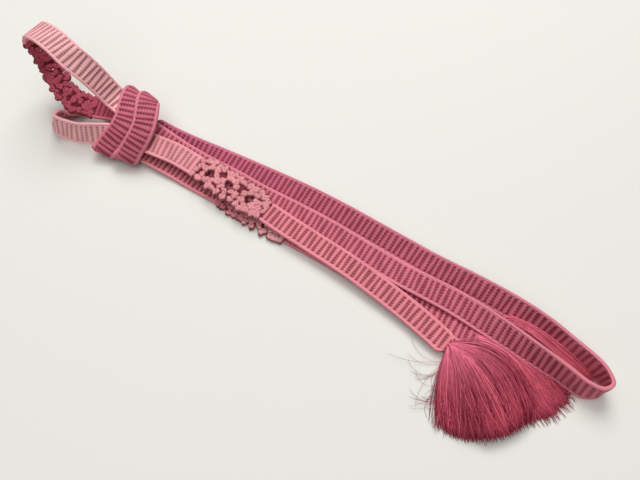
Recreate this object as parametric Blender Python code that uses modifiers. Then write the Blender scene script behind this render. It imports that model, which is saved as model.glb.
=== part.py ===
"""Obi cord (obijime) of knotted silk, folded in four, wrapped twice and laid on a table.

The cord is a flat band of close cross ribs between two plain edge cords, with three short
lengths of open knotwork in it and a fringed tassel at each end. It lies along X, its two
loops at -X and the turn of its long fold at +X, and rests on z = 0. Metres throughout;
the route tables are in millimetres and degrees.
"""

import math
from collections import namedtuple

import bmesh
import bpy
import numpy as np
from mathutils import Vector

MM = 0.001

# Driving sizes of the band
BAND_WIDTH = 12.4 * MM
LOOP_WIDTH = 14.2 * MM
WRAP_WIDTH = 13.0 * MM
LACE_WIDTH = 16.6 * MM
BAND_THICKNESS = 2.2 * MM
GROOVE_THICKNESS = 1.4 * MM
EDGE_CORD = 1.6 * MM
RIB_PITCH = 3.0 * MM
SEAM = 0.4 * MM

# Driving sizes of the open knotwork
LACE_THICKNESS = 2.0 * MM
LACE_HOLE_WIDTH = 4.6 * MM
LACE_HOLE_LENGTH = 4.8 * MM
LACE_ROW = 1.6 * MM
LOBE_SHARE = 0.15

# Driving sizes of the two wraps round the bundle and of the folded layers inside them
WRAP_RIGHT_LEAN = 16.0
WRAP_LEFT_LEAN = 17.0
WRAP_LEFT_INSET = 1.0 * MM
CORE_LEFT = -121.6 * MM
CORE_RIGHT = -114.5 * MM
CORE_ROUND = 3.0 * MM
CORE_GAP = 7.4 * MM

# Driving sizes of the tassels
LOCK_HEIGHT = 1.0 * MM
LAYER_GAP = 0.3 * MM
LOCK_SHARE = 0.72
LOCK_STATIONS = (0.4, 1.0)
LOCK_STAGGER = 0.12
NECK = 2.0 * MM
LIFT_FROM = -48.0
LIFT_RANGE = 14.0
FLOOR_GAP = 0.1 * MM

COLLECTION = "obi_cord"

Paint = namedtuple("Paint", "red green blue roughness")
Station = namedtuple("Station", "x y z heading rise")
Turn = namedtuple("Turn", "x_right x_left y z low_left")
Tassel = namedtuple("Tassel", "name x y first last across head short long layers lift")
Lace = namedtuple("Lace", "holes near_lobes far_lobes")
Frame = namedtuple("Frame", "origin along across normal distance")

# Long fold: the near run from the knot to the turn, the turn, and the far run back.
# heading and rise turn the band's across direction, which points away from the viewer.
LONG_FOLD = (
    Station(-113, -4.8, 9.0, 90, 16),
    Station(-100, -5.0, 7.0, 90, 14),
    Station(-90, -5.0, 5.4, 90, 12),
    Station(-75, -4.6, 4.5, 90, 9),
    Station(-60, -3.9, 4.2, 90, 7),
    Station(-40, -3.8, 4.0, 90, 5),
    Station(-20, -2.8, 3.8, 90, 4),
    Station(0, -2.4, 3.6, 90, 4),
    Station(20, -3.4, 3.8, 90, 5),
    Station(40, -4.4, 4.2, 90, 8),
    Station(55, -4.4, 5.0, 90, 12),
    Station(72, -4.0, 5.1, 90, 20),
    Station(93, -5.6, 5.8, 90, 36),
    Station(112, -7.8, 6.3, 90, 56),
    Station(127, -9.4, 6.4, 92, 70),
    Station(137.4, -11.0, 6.4, 96, 74),
    Station(144, -9.0, 6.4, 140, 82),
    Station(146.2, -4.2, 6.4, 175, 84),
    Station(143.4, 0.4, 6.4, 120, 86),
    Station(136, 2.8, 6.4, 90, 82),
    Station(125, 4.8, 6.3, 90, 73),
    Station(112, 6.8, 6.1, 90, 61),
    Station(96, 8.4, 5.3, 90, 46),
    Station(76, 8.8, 4.5, 90, 36),
    Station(55, 8.3, 3.9, 90, 30),
    Station(40, 8.7, 3.5, 90, 27),
    Station(20, 9.2, 3.3, 90, 26),
    Station(0, 9.7, 3.0, 90, 23),
    Station(-20, 9.4, 2.7, 90, 19),
    Station(-40, 8.2, 2.4, 90, 16),
    Station(-60, 6.5, 2.2, 90, 13),
    Station(-75, 5.0, 2.2, 90, 13),
    Station(-90, 2.6, 3.0, 90, 20),
    Station(-102, 0.6, 4.6, 90, 26),
    Station(-113, -0.2, 5.8, 90, 30),
)
LONG_FOLD_CUTS = (("strand_2", 0.455), ("right_fold", 0.552), ("strand_1", 1.0))

# Top cord: from the tassel's neck along the bundle, its lace, and up to the knot.
STRAND_3 = (
    Station(-113, -12.8, 10.6, 92, 10),
    Station(-104, -11.4, 10.0, 92, 10),
    Station(-92, -9.4, 8.8, 90, 8),
    Station(-76, -9.2, 7.7, 90, 4),
    Station(-60, -9.8, 7.5, 90, 2),
    Station(-40, -11.2, 6.9, 90, 1),
    Station(-20, -12.5, 5.9, 90, 1),
    Station(0, -13.4, 5.2, 90, 0),
    Station(20, -14.6, 5.0, 90, 0),
    Station(38, -16.6, 4.4, 86, -1),
    Station(55, -19.0, 3.8, 82, 0),
    Station(68, -21.6, 3.7, 78, 0),
    Station(76.5, -23.4, 3.0, 76, -3),
)
STRAND_3_CUTS = (("strand_3_left", 0.182), ("strand_3_lace", 0.430), ("strand_3_right", 1.0))

# Bottom cord: under the top one, out again on its far side, to the other tassel.
STRAND_4 = (
    Station(-110, -15.2, 4.2, 90, 2),
    Station(-103, -14.8, 3.2, 90, 2),
    Station(-90, -14.0, 2.0, 90, 2),
    Station(-83, -13.9, 1.3, 90, 1),
    Station(-76, -13.8, 1.1, 90, 0),
    Station(-60, -13.6, 1.1, 90, 0),
    Station(-40, -13.8, 1.1, 90, 0),
    Station(-20, -13.6, 1.1, 90, 0),
    Station(0, -13.1, 1.1, 90, 0),
    Station(20, -13.3, 1.1, 90, 0),
    Station(38, -13.8, 1.1, 90, 0),
    Station(55, -13.8, 1.1, 90, 0),
    Station(70, -13.2, 1.1, 90, 0),
    Station(87, -13.2, 1.1, 90, 0),
)
STRAND_4_CUTS = (("strand_4_left", 0.26), ("strand_4_lace", 0.48), ("strand_4_right", 1.0))

# Large loop: up out of the knot, over, down as lace and back along the table.
LOOP_1 = (
    Station(-127.6, -2.8, 15.0, 92, 0),
    Station(-133.5, -2.6, 16.8, 92, 0),
    Station(-139, -2.8, 20.0, 92, 0),
    Station(-144, -3.6, 27.0, 92, 0),
    Station(-149, -5.4, 36.0, 88, 4),
    Station(-156, -6.8, 42.8, 80, 12),
    Station(-166, -5.8, 46.8, 86, 6),
    Station(-178, -4.4, 46.8, 92, 0),
    Station(-187, -3.4, 43.0, 95, -4),
    Station(-190.4, -3.8, 36.0, 92, 0),
    Station(-188, -3.6, 27.0, 88, 4),
    Station(-184.6, -4.8, 18.6, 80, 10),
    Station(-179, -7.4, 13.8, 66, 18),
    Station(-171, -10.2, 11.9, 64, 14),
    Station(-161, -11.4, 11.0, 76, 12),
    Station(-151, -9.8, 10.4, 96, 12),
    Station(-142, -7.0, 10.8, 100, 10),
    Station(-134, -5.2, 11.7, 96, 4),
    Station(-127.6, -4.4, 11.9, 94, 0),
)
LOOP_1_CUTS = (
    ("loop_1_top", 0.405),
    ("loop_1_turn", 0.50),
    ("loop_1_lace", 0.86),
    ("loop_1_return", 1.0),
)

# Small loop: out of the knot on edge, round, and back flat under the large loop's lace.
LOOP_2 = (
    Station(-125.6, -13.8, 11.2, 104, 28),
    Station(-129.0, -16.2, 11.6, 104, 40),
    Station(-132.6, -19.0, 12.0, 104, 50),
    Station(-138, -24.0, 11.8, 102, 58),
    Station(-145, -28.4, 10.6, 98, 64),
    Station(-152, -30.2, 11.0, 98, 68),
    Station(-158.5, -30.2, 10.4, 60, 74),
    Station(-164, -25.4, 7.6, 10, 56),
    Station(-166.5, -18.0, 3.8, -5, 24),
    Station(-165, -9.0, 1.8, -20, 6),
    Station(-158, -2.4, 1.6, -60, 0),
    Station(-150, 0.2, 3.4, -86, 0),
    Station(-142, -0.8, 7.2, -90, 0),
    Station(-134, -2.2, 8.6, -90, 0),
    Station(-127.6, -3.0, 8.8, -90, 0),
)
LOOP_2_CUTS = (("loop_2_front", 0.41), ("loop_2_turn", 0.66), ("loop_2_back", 1.0))

# Middle of each opening as a share of its lace's length, and how far each edge has lobes
LACES = {
    "strand_3_lace": Lace((0.18, 0.45, 0.73), 1.0, 1.0),
    "strand_4_lace": Lace((0.20, 0.50, 0.80), 1.0, 0.0),
    "loop_1_lace": Lace((0.15, 0.36, 0.57, 0.78), 0.3, 0.0),
}

# One turn of the wraps, middle of the band, from low at the back up, over and down the front;
# low_left is how much further the left one reaches toward the viewer
WRAP_TURN = (
    Turn(-123.5, -135.6, 2.0, 3.0, 0),
    Turn(-123.5, -135.6, 7.0, 7.0, 0),
    Turn(-123.0, -135.0, 8.8, 13.0, 0),
    Turn(-121.5, -133.0, 7.4, 18.2, 0),
    Turn(-118.5, -129.4, 3.6, 21.2, 0),
    Turn(-115.5, -125.6, -1.8, 21.4, 0),
    Turn(-112.6, -122.0, -8.4, 19.6, 0),
    Turn(-111.6, -120.8, -14.8, 16.6, 0),
    Turn(-112.8, -122.8, -20.0, 12.2, 0.4),
    Turn(-113.2, -126.6, -24.2, 8.6, 2.2),
    Turn(-113.8, -130.0, -25.8, 6.2, 4.6),
    Turn(-115.8, -132.2, -24.4, 3.7, 5.8),
    Turn(-119.4, -134.8, -18.5, 2.7, 3.4),
    Turn(-122.2, -136.2, -8.0, 2.6, 0.6),
)

# Heads and fans of the two tassels; lift raises the locks that lie over the other tassel,
# those at an angle past LIFT_FROM, in full after a further LIFT_RANGE
TASSELS = (
    Tassel("tassel_near", 77.8, -23.4, -74, -2, 26, 11.0, 37.5, 47.5, 3, 3.6),
    Tassel("tassel_far", 88.4, -11.0, -36, -8, 14, 8.0, 45.0, 45.0, 2, 0.0),
)

# Silk colours, and the pieces that have each
PAINTS = {
    "pale_pink": Paint(0.62, 0.235, 0.245, 0.62),
    "rose": Paint(0.40, 0.095, 0.13, 0.62),
    "deep_rose": Paint(0.33, 0.06, 0.09, 0.65),
    "tassel_pink": Paint(0.52, 0.10, 0.16, 0.5),
}
PIECE_PAINTS = {
    "strand_1": "rose",
    "strand_2": "rose",
    "right_fold": "rose",
    "strand_3_left": "pale_pink",
    "strand_3_lace": "rose",
    "strand_3_right": "rose",
    "strand_4_left": "pale_pink",
    "strand_4_lace": "rose",
    "strand_4_right": "rose",
    "loop_1_top": "pale_pink",
    "loop_1_turn": "pale_pink",
    "loop_1_lace": "deep_rose",
    "loop_1_return": "deep_rose",
    "loop_2_front": "pale_pink",
    "loop_2_turn": "pale_pink",
    "loop_2_back": "pale_pink",
    "wrap_left": "deep_rose",
    "wrap_right": "deep_rose",
    "knot_core": "deep_rose",
    "tassel_near": "tassel_pink",
    "tassel_far": "tassel_pink",
}


def clear_scene():
    """Remove every object of the file that this script starts from."""
    for item in list(bpy.data.objects):
        bpy.data.objects.remove(item, do_unlink=True)


def direction(heading, rise):
    """Unit vector at a compass heading in the XY plane and a rise above it, in degrees."""
    flat = math.cos(math.radians(rise))
    turn = math.radians(heading)
    return np.array((flat * math.cos(turn), flat * math.sin(turn), math.sin(math.radians(rise))))


def catmull(points, count):
    """Smooth curve through the rows of points, count samples to each gap."""
    rows = np.vstack((2 * points[0] - points[1], points, 2 * points[-1] - points[-2]))
    samples = []
    for i in range(len(points) - 1):
        p0, p1, p2, p3 = rows[i:i + 4]
        for t in np.arange(count) / count:
            samples.append(0.5 * (2 * p1 + (p2 - p0) * t + (2 * p0 - 5 * p1 + 4 * p2 - p3) * t ** 2
                                  + (3 * p1 - p0 - 3 * p2 + p3) * t ** 3))
    samples.append(points[-1])
    return np.array(samples)


class Route:
    """A smooth course through stations, read by its distance along."""

    def __init__(self, stations):
        centres = np.array([(s.x, s.y, s.z) for s in stations]) * MM
        sides = np.array([direction(s.heading, s.rise) for s in stations])
        self.places = catmull(centres, 24)
        self.sides = catmull(sides, 24)
        steps = np.linalg.norm(np.diff(self.places, axis=0), axis=1)
        self.distances = np.concatenate(([0.0], np.cumsum(steps)))
        self.length = self.distances[-1]

    def read(self, rows, distance):
        return np.array([np.interp(distance, self.distances, rows[:, k]) for k in range(3)])

    def frame(self, distance):
        """Place, tangent, across and face directions at a distance along the course."""
        reach = 0.4 * MM
        ahead = self.read(self.places, min(distance + reach, self.length))
        behind = self.read(self.places, max(distance - reach, 0.0))
        along = ahead - behind
        along /= np.linalg.norm(along)
        across = self.read(self.sides, distance)
        across -= along * np.dot(across, along)
        across /= np.linalg.norm(across)
        return Frame(self.read(self.places, distance), along, across,
                     np.cross(along, across), distance)


def wrap_frames(rows, lean, inset):
    """Frames round one closed turn of the wrap, drawn in, with its right edge leaning inward."""
    closed = np.vstack((rows[-1], rows, rows[:2]))
    places = catmull(closed, 24)[24:-24]
    steps = np.linalg.norm(np.diff(places, axis=0), axis=1)
    distances = np.concatenate(([0.0], np.cumsum(steps)))
    count = 2 * round(distances[-1] / RIB_PITCH)
    middle = rows.mean(axis=0)
    frames = []
    for i in range(count):
        distance = distances[-1] * i / count
        ahead = (distance + 0.5 * MM) % distances[-1]
        behind = (distance - 0.5 * MM) % distances[-1]
        place, front, back = (
            np.array([np.interp(d, distances, places[:, k]) for k in range(3)])
            for d in (distance, ahead, behind))
        along = (front - back) / np.linalg.norm(front - back)
        outward = np.cross((1.0, 0.0, 0.0), along)
        if np.dot(outward, place - middle) < 0:
            outward = -outward
        outward /= np.linalg.norm(outward)
        place = place - outward * inset
        across = np.cross(outward, along)
        if across[0] < 0:
            across = -across
        turn = math.radians(lean)
        across = across * math.cos(turn) - outward * math.sin(turn)
        normal = np.cross(along, across)
        frames.append(Frame(place, along, across, normal, distance))
    return frames


def band_section(frame, width, thickness, flat_back):
    """Six points round the band: two edge cords, and a shoulder on each side of each face."""
    half = width / 2
    shoulder = half - EDGE_CORD
    front = thickness / 2
    back = BAND_THICKNESS / 2 if flat_back else front
    local = ((-half, 0.0), (-shoulder, -back), (shoulder, -back),
             (half, 0.0), (shoulder, front), (-shoulder, front))
    return [frame.origin + frame.across * a + frame.normal * b for a, b in local]


def loft(name, sections, ring_shaped=False):
    """Closed mesh through rings of points, capped at both ends or joined into a ring."""
    mesh = bmesh.new()
    rings = [[mesh.verts.new(point) for point in ring] for ring in sections]
    count = len(rings[0])
    pairs = list(zip(rings, rings[1:]))
    if ring_shaped:
        pairs.append((rings[-1], rings[0]))
    for ring, following in pairs:
        for i in range(count):
            j = (i + 1) % count
            mesh.faces.new((ring[i], ring[j], following[j], following[i]))
    if not ring_shaped:
        mesh.faces.new(reversed(rings[0]))
        mesh.faces.new(rings[-1])
    bmesh.ops.recalc_face_normals(mesh, faces=mesh.faces)
    return add_object(name, mesh)


def make_material(name):
    """A silk material of the piece's own, in the colour the piece has."""
    paint = PAINTS[PIECE_PAINTS[name]]
    material = bpy.data.materials.new(name)
    material.use_nodes = True
    shader = material.node_tree.nodes["Principled BSDF"]
    shader.inputs["Base Color"].default_value = (paint.red, paint.green, paint.blue, 1.0)
    shader.inputs["Roughness"].default_value = paint.roughness
    shader.inputs["Metallic"].default_value = 0.0
    return material


def add_object(name, mesh):
    """Turn a bmesh into a named object of the part's collection."""
    data = bpy.data.meshes.new(name)
    mesh.to_mesh(data)
    mesh.free()
    item = bpy.data.objects.new(name, data)
    data.materials.append(make_material(name))
    bpy.data.collections[COLLECTION].objects.link(item)
    return item


def ribbed_band(name, route, start, end, width, flat_back=False):
    """Band from start to end along a route, its ribs raised between plain edge cords."""
    ribs = max(2, round((end - start) / RIB_PITCH))
    sections = []
    for i in range(2 * ribs + 1):
        frame = route.frame(start + (end - start) * i / (2 * ribs))
        thickness = BAND_THICKNESS if i % 2 else GROOVE_THICKNESS
        sections.append(band_section(frame, width, thickness, flat_back))
    return loft(name, sections)


def lace_half_width(share, holes, lobes):
    """Half width of a lace at a share of its length: one round lobe beside each opening."""
    grow = min(1.0, 8.0 * min(share, 1 - share))
    lobe = max(0.0, max(1.0 - ((share - hole) / LOBE_SHARE) ** 2 for hole in holes))
    return BAND_WIDTH / 2 + (LACE_WIDTH - BAND_WIDTH) / 2 * grow * lobes * math.sqrt(lobe)


def lace_band(name, route, start, end):
    """Open knotwork: a sheet with lobed edges and openings cut through it, given a wall."""
    holes = LACES[name].holes
    length = end - start
    half_hole = LACE_HOLE_LENGTH / 2 / length
    rows = round(length / LACE_ROW)
    mesh = bmesh.new()
    bmesh.ops.create_grid(mesh, x_segments=rows, y_segments=3, size=0.5)
    shares = {round(v.co.x + 0.5, 6) for v in mesh.verts}
    ends = {min(shares, key=lambda s, edge=hole + side * half_hole: abs(s - edge))
            for hole in holes for side in (-1, 1)}
    openings = []
    for face in mesh.faces:
        middle = face.calc_center_median()
        if abs(middle.y) < 0.1 and any(abs(middle.x + 0.5 - hole) < half_hole for hole in holes):
            openings.append(face)
    for vert in mesh.verts:
        share = round(vert.co.x + 0.5, 6)
        frame = route.frame(start + length * share)
        if abs(vert.co.y) > 0.3:
            lobes = LACES[name].far_lobes if vert.co.y > 0 else LACES[name].near_lobes
            reach = lace_half_width(share, holes, lobes)
        elif share in ends:
            reach = LACE_HOLE_WIDTH / 4
        else:
            reach = LACE_HOLE_WIDTH / 2
        vert.co = Vector(frame.origin + frame.across * math.copysign(reach, vert.co.y))
    bmesh.ops.delete(mesh, geom=openings, context="FACES")
    bmesh.ops.recalc_face_normals(mesh, faces=mesh.faces)
    item = add_object(name, mesh)
    wall = item.modifiers.new("thickness", "SOLIDIFY")
    wall.thickness = LACE_THICKNESS
    wall.offset = 0.0
    return item


def cut_route(stations, cuts, makers):
    """Make the named stretches of one route, a seam's gap apart."""
    route = Route(stations)
    start = 0.0
    items = []
    for name, share in cuts:
        end = route.length * share
        items.append(makers[name](name, route, start + SEAM / 2, end - SEAM / 2))
        start = end
    return items


def ribbed(width=BAND_WIDTH, flat_back=False):
    """Maker of a ribbed stretch."""
    return lambda name, route, start, end: ribbed_band(name, route, start, end, width, flat_back)


def make_wrap(name, rows, lean, inset):
    """One ribbed turn of the cord round the bundle, through rows of points in millimetres."""
    sections = []
    for i, frame in enumerate(wrap_frames(np.array(rows) * MM, lean, inset)):
        thickness = BAND_THICKNESS if i % 2 else GROOVE_THICKNESS
        sections.append(band_section(frame, WRAP_WIDTH, thickness, False))
    return loft(name, sections, ring_shaped=True)


def make_core():
    """The folded layers hidden inside the wraps, as one rounded solid."""
    rows = np.array([(turn.y, turn.z) for turn in WRAP_TURN]) * MM
    middle = rows.mean(axis=0)
    places = ((CORE_LEFT, CORE_ROUND), (CORE_LEFT + CORE_ROUND, 0.0),
              (CORE_RIGHT - CORE_ROUND, 0.0), (CORE_RIGHT, CORE_ROUND))
    sections = []
    for x, inset in places:
        ring = []
        for row in rows:
            arm = row - middle
            arm *= 1.0 - (CORE_GAP + inset) / np.linalg.norm(arm)
            ring.append((x, middle[0] + arm[0], middle[1] + arm[1]))
        sections.append(ring)
    return loft("knot_core", sections)


def fan_point(tassel, angle, radius, height):
    """Point of a tassel's fan at an angle in degrees, a radius and a height in metres."""
    turn = math.radians(angle)
    return Vector((tassel.x * MM + radius * math.cos(turn),
                   tassel.y * MM + radius * math.sin(turn), height))


def layer_base(tassel, angle, layer, share):
    """Underside of a layer of locks at a share of the way from the head to the tips."""
    over = min(1.0, max(0.0, (angle - LIFT_FROM) / LIFT_RANGE))
    rise = tassel.lift * over * math.sin(share * math.pi / 2)
    return FLOOR_GAP + rise * MM + layer * (LOCK_HEIGHT + LAYER_GAP)


def place_lock(tassel, face, layer, middle, step, share, radius):
    """Set a lock's end face across the fan at a radius and a share of its length."""
    half = step / 2 * LOCK_SHARE
    low = layer_base(tassel, middle, layer, share) + LAYER_GAP / 2
    high = low + LOCK_HEIGHT
    corners = ((-half, low), (half, low), (half, high), (-half, high))
    for vert, (swing, z) in zip(face.verts, corners):
        vert.co = fan_point(tassel, middle + swing, radius, z)


def make_tassel(tassel):
    """A fanned head with its locks drawn out of the head's front face, layer over layer."""
    mesh = bmesh.new()
    step = (tassel.last - tassel.first) / tassel.across
    head = tassel.head * MM
    columns = []
    for i in range(tassel.across + 1):
        angle = tassel.first + step * i
        heights = [layer_base(tassel, angle, k, 0.0) for k in range(tassel.layers + 1)]
        columns.append([mesh.verts.new(fan_point(tassel, angle, head, z)) for z in heights])
    backs = []
    for i in range(tassel.across + 1):
        angle = tassel.first + step * i
        low = layer_base(tassel, angle, 0, 0.0)
        high = layer_base(tassel, angle, tassel.layers, 0.0)
        backs.append([mesh.verts.new(fan_point(tassel, angle, NECK, z)) for z in (low, high)])
    fronts = {}
    for i in range(tassel.across):
        for k in range(tassel.layers):
            fronts[i, k] = mesh.faces.new((columns[i][k], columns[i + 1][k],
                                           columns[i + 1][k + 1], columns[i][k + 1]))
        mesh.faces.new((backs[i][0], backs[i + 1][0], columns[i + 1][0], columns[i][0]))
        mesh.faces.new((backs[i][1], columns[i][-1], columns[i + 1][-1], backs[i + 1][1]))
        mesh.faces.new((backs[i][0], backs[i][1], backs[i + 1][1], backs[i + 1][0]))
    mesh.faces.new([backs[0][0]] + columns[0] + [backs[0][1]])
    mesh.faces.new([backs[-1][1]] + columns[-1][::-1] + [backs[-1][0]])
    for (i, k), face in fronts.items():
        stagger = LOCK_STAGGER if k % 2 else -LOCK_STAGGER
        middle = tassel.first + step * (i + 0.5 + stagger)
        turned = (middle - tassel.last) / (tassel.first - tassel.last)
        reach = (tassel.long + (tassel.short - tassel.long) * turned ** 4) * MM
        bmesh.ops.inset_individual(mesh, faces=[face], thickness=LAYER_GAP / 6)
        place_lock(tassel, face, k, middle, step, 0.0, head)
        for share in LOCK_STATIONS:
            face = bmesh.ops.extrude_discrete_faces(mesh, faces=[face])["faces"][0]
            place_lock(tassel, face, k, middle, step, share, head + (reach - head) * share)
    bmesh.ops.recalc_face_normals(mesh, faces=mesh.faces)
    return add_object(tassel.name, mesh)


def settle():
    """Move every piece so that the origin is the bottom centre of the whole cord."""
    bpy.context.view_layer.update()
    graph = bpy.context.evaluated_depsgraph_get()
    points = []
    for item in bpy.data.collections[COLLECTION].objects:
        solid = item.evaluated_get(graph)
        points.extend(vert.co.copy() for vert in solid.data.vertices)
    rows = np.array(points)
    low = rows.min(axis=0)
    high = rows.max(axis=0)
    shift = Vector((-(low[0] + high[0]) / 2, -(low[1] + high[1]) / 2, -low[2]))
    for item in bpy.data.collections[COLLECTION].objects:
        for vert in item.data.vertices:
            vert.co += shift


def main():
    clear_scene()
    collection = bpy.data.collections.new(COLLECTION)
    bpy.context.scene.collection.children.link(collection)
    cut_route(LONG_FOLD, LONG_FOLD_CUTS,
              {"strand_2": ribbed(), "right_fold": ribbed(), "strand_1": ribbed()})
    cut_route(STRAND_3, STRAND_3_CUTS,
              {"strand_3_left": ribbed(), "strand_3_lace": lace_band, "strand_3_right": ribbed()})
    cut_route(STRAND_4, STRAND_4_CUTS,
              {"strand_4_left": ribbed(flat_back=True), "strand_4_lace": lace_band,
               "strand_4_right": ribbed(flat_back=True)})
    cut_route(LOOP_1, LOOP_1_CUTS,
              {"loop_1_top": ribbed(LOOP_WIDTH), "loop_1_turn": ribbed(LOOP_WIDTH),
               "loop_1_lace": lace_band, "loop_1_return": ribbed()})
    cut_route(LOOP_2, LOOP_2_CUTS,
              {"loop_2_front": ribbed(), "loop_2_turn": ribbed(), "loop_2_back": ribbed()})
    make_wrap("wrap_right", [(turn.x_right, turn.y, turn.z) for turn in WRAP_TURN],
              WRAP_RIGHT_LEAN, 0.0)
    make_wrap("wrap_left", [(turn.x_left, turn.y - turn.low_left, turn.z) for turn in WRAP_TURN],
              WRAP_LEFT_LEAN, WRAP_LEFT_INSET)
    make_core()
    for tassel in TASSELS:
        make_tassel(tassel)
    settle()


main()
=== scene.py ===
"""Obi cord (obijime) of knotted silk: the dressed model, its stage and its camera.

The ribbed stretches of the band, the lace, the wraps and the tassels follow the routes of
their plain solids, in places moved by a few millimetres. Lengths are in metres, and the route
tables in millimetres and degrees, in a working frame that SHIFT moves to the model's frame.
"""

import math
from collections import namedtuple

import bmesh
import bpy
import numpy as np
from mathutils import Matrix, Vector


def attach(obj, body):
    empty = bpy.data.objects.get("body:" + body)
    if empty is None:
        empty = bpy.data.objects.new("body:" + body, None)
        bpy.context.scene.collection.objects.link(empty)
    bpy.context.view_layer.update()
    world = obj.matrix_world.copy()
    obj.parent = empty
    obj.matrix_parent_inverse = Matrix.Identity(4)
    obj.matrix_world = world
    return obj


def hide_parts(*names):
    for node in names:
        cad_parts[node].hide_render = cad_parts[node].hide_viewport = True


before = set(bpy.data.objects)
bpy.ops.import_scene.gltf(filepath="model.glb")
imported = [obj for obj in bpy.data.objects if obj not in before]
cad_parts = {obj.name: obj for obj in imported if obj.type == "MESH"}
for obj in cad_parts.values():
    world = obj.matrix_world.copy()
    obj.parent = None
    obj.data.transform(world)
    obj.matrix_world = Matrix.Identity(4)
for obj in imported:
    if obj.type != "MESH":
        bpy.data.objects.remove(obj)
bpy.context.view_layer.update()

bl_info = {
    "name": "Obi cord",
    "version": (1, 0, 0),
    "blender": (4, 5, 0),
    "location": "View3D > Sidebar > Obi cord",
    "description": "Builds a folded silk obi cord with lace, wraps and tassels",
    "category": "Object",
}

# Millimetre, and the step from the tables' working frame to the model's
MM = 0.001
SHIFT = np.array((21.957, 23.007, 0.021)) * MM

# Sizes of the bands, and half the length of a lobe as a share of its lace
BAND_WIDTH = 12.4 * MM
LOOP_WIDTH = 14.2 * MM
WRAP_WIDTH = 13.0 * MM
LACE_WIDTH = 16.6 * MM
LOBE_SHARE = 0.15

# Left off each stretch's flat length, and the gap that the stretches really leave at each end
SEAM = 0.4 * MM
PARTING = SEAM / 40

# Samples from one station of a route to the next, and from one place of a thread to the next
SAMPLES = 24
THREAD_SAMPLES = 12

# Knots of the lace: how many stand round an opening, how far apart they stand, their radius, how
# far inside the lace's outline their middles and the web between them end, and how far in mm
# their own outlines are drawn out of round
RING_KNOTS = 7
KNOT_SPACING = 3.8 * MM
KNOT_RADIUS = 2.2 * MM
KNOT_INSET = 1.5 * MM
WEB_INSET = 2.2 * MM
KNOT_WARP = 0.42

# Rows of knots that are tried, and how close two knots may stand, as shares of their spacing
KNOT_ROWS = 0.3
KNOT_CLOSEST = 0.76

# How the wraps lean in degrees, how far the left one lies inward, how far their edges draw in,
# and the passes that even out their places and their across directions
WRAP_RIGHT_LEAN = 16.0
WRAP_LEFT_LEAN = 17.0
WRAP_LEFT_INSET = 1.0 * MM
CROWN = 1.7 * MM
PLACE_PASSES = 12
SIDE_PASSES = 60

# Length over which a band's loose end rounds off, how much narrower it gets there, and how much
# closer the points of a band stand at its edges, from 0 to 1
ROUNDED_END = 3.5 * MM
END_NARROWING = 0.72
CROWDING = 0.82

# Half thickness in mm of the band in its grooves, of an edge cord's foot and of the lace between
# its knots, and how far ribs and cords rise over that
GROOVE_HALF = 0.36
RIB_RISE = 0.76
CORD_FOOT = 0.30
CORD_RISE = 0.68
LACE_HALF = 0.20

# In shares of a rib's pitch: how far a rib slants over half the band's width, how far it waves
# from hitch to hitch, and how far it strays in long and in short waves; in shares of a hitch's
# width, how far its hitches stray
RIB_SLANT = 0.12
HITCH_WAVE = 0.05
LONG_STRAY = 0.07
SHORT_STRAY = 0.05
HITCH_STRAY = 0.12

# Share of a rib's height that its hitches take, and the share that the twist has in an edge cord
HITCH_SHARE = 0.22
TWIST_SHARE = 0.1

# Painted shade, as how much of the dye is left unshaded, from 0 in a groove to 1: on an edge cord
# between its twists, on a hitch at the least, and how a rib's height is scaled and lowered for it
CORD_UNSHADED = 0.74
HITCH_UNSHADED = 0.48
RIB_SCALED = 1.75
RIB_LOWERED = 0.62

# Points along each thread of a tassel, clumps of threads in each half of its fan, and the shares
# of its threads that stray sideways, that are longer and that lie loose on top
THREAD_STEPS = 11
CLUMPS = 23.0
STRAYING = 0.12
LONGER = 0.07
LOOSE = 0.25

# How far in mm the threads start behind a tassel's head and lie above the floor, how far in
# degrees they wander, and how many times further the loose ones do
HEAD_DEPTH = 1.8
LOWEST = 0.30
WANDER = 2.4
LOOSE_WANDER = 2.6

# The near tassel's threads rise onto the far one from this direction on, over so many degrees
LIFT_FROM = -52.0
LIFT_OVER = 16.0

# Radius of a loose hair, and of a thread tucked under the band
HAIR_RADIUS = 0.08 * MM
TUCKED_RADIUS = 0.17 * MM

Station = namedtuple("Station", "x y z heading rise")
Turn = namedtuple("Turn", "x_right x_left y z nearer_left")
Tassel = namedtuple("Tassel", "name x y first last short long height lift left right deep "
                              "strays tucked")
Place = namedtuple("Place", "x y z")
Lace = namedtuple("Lace", "holes near_lobes far_lobes opening relief")
Stretch = namedtuple("Stretch", "name end width dye fade before after")
Finish = namedtuple("Finish", "roughness specular sheen bump")

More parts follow.
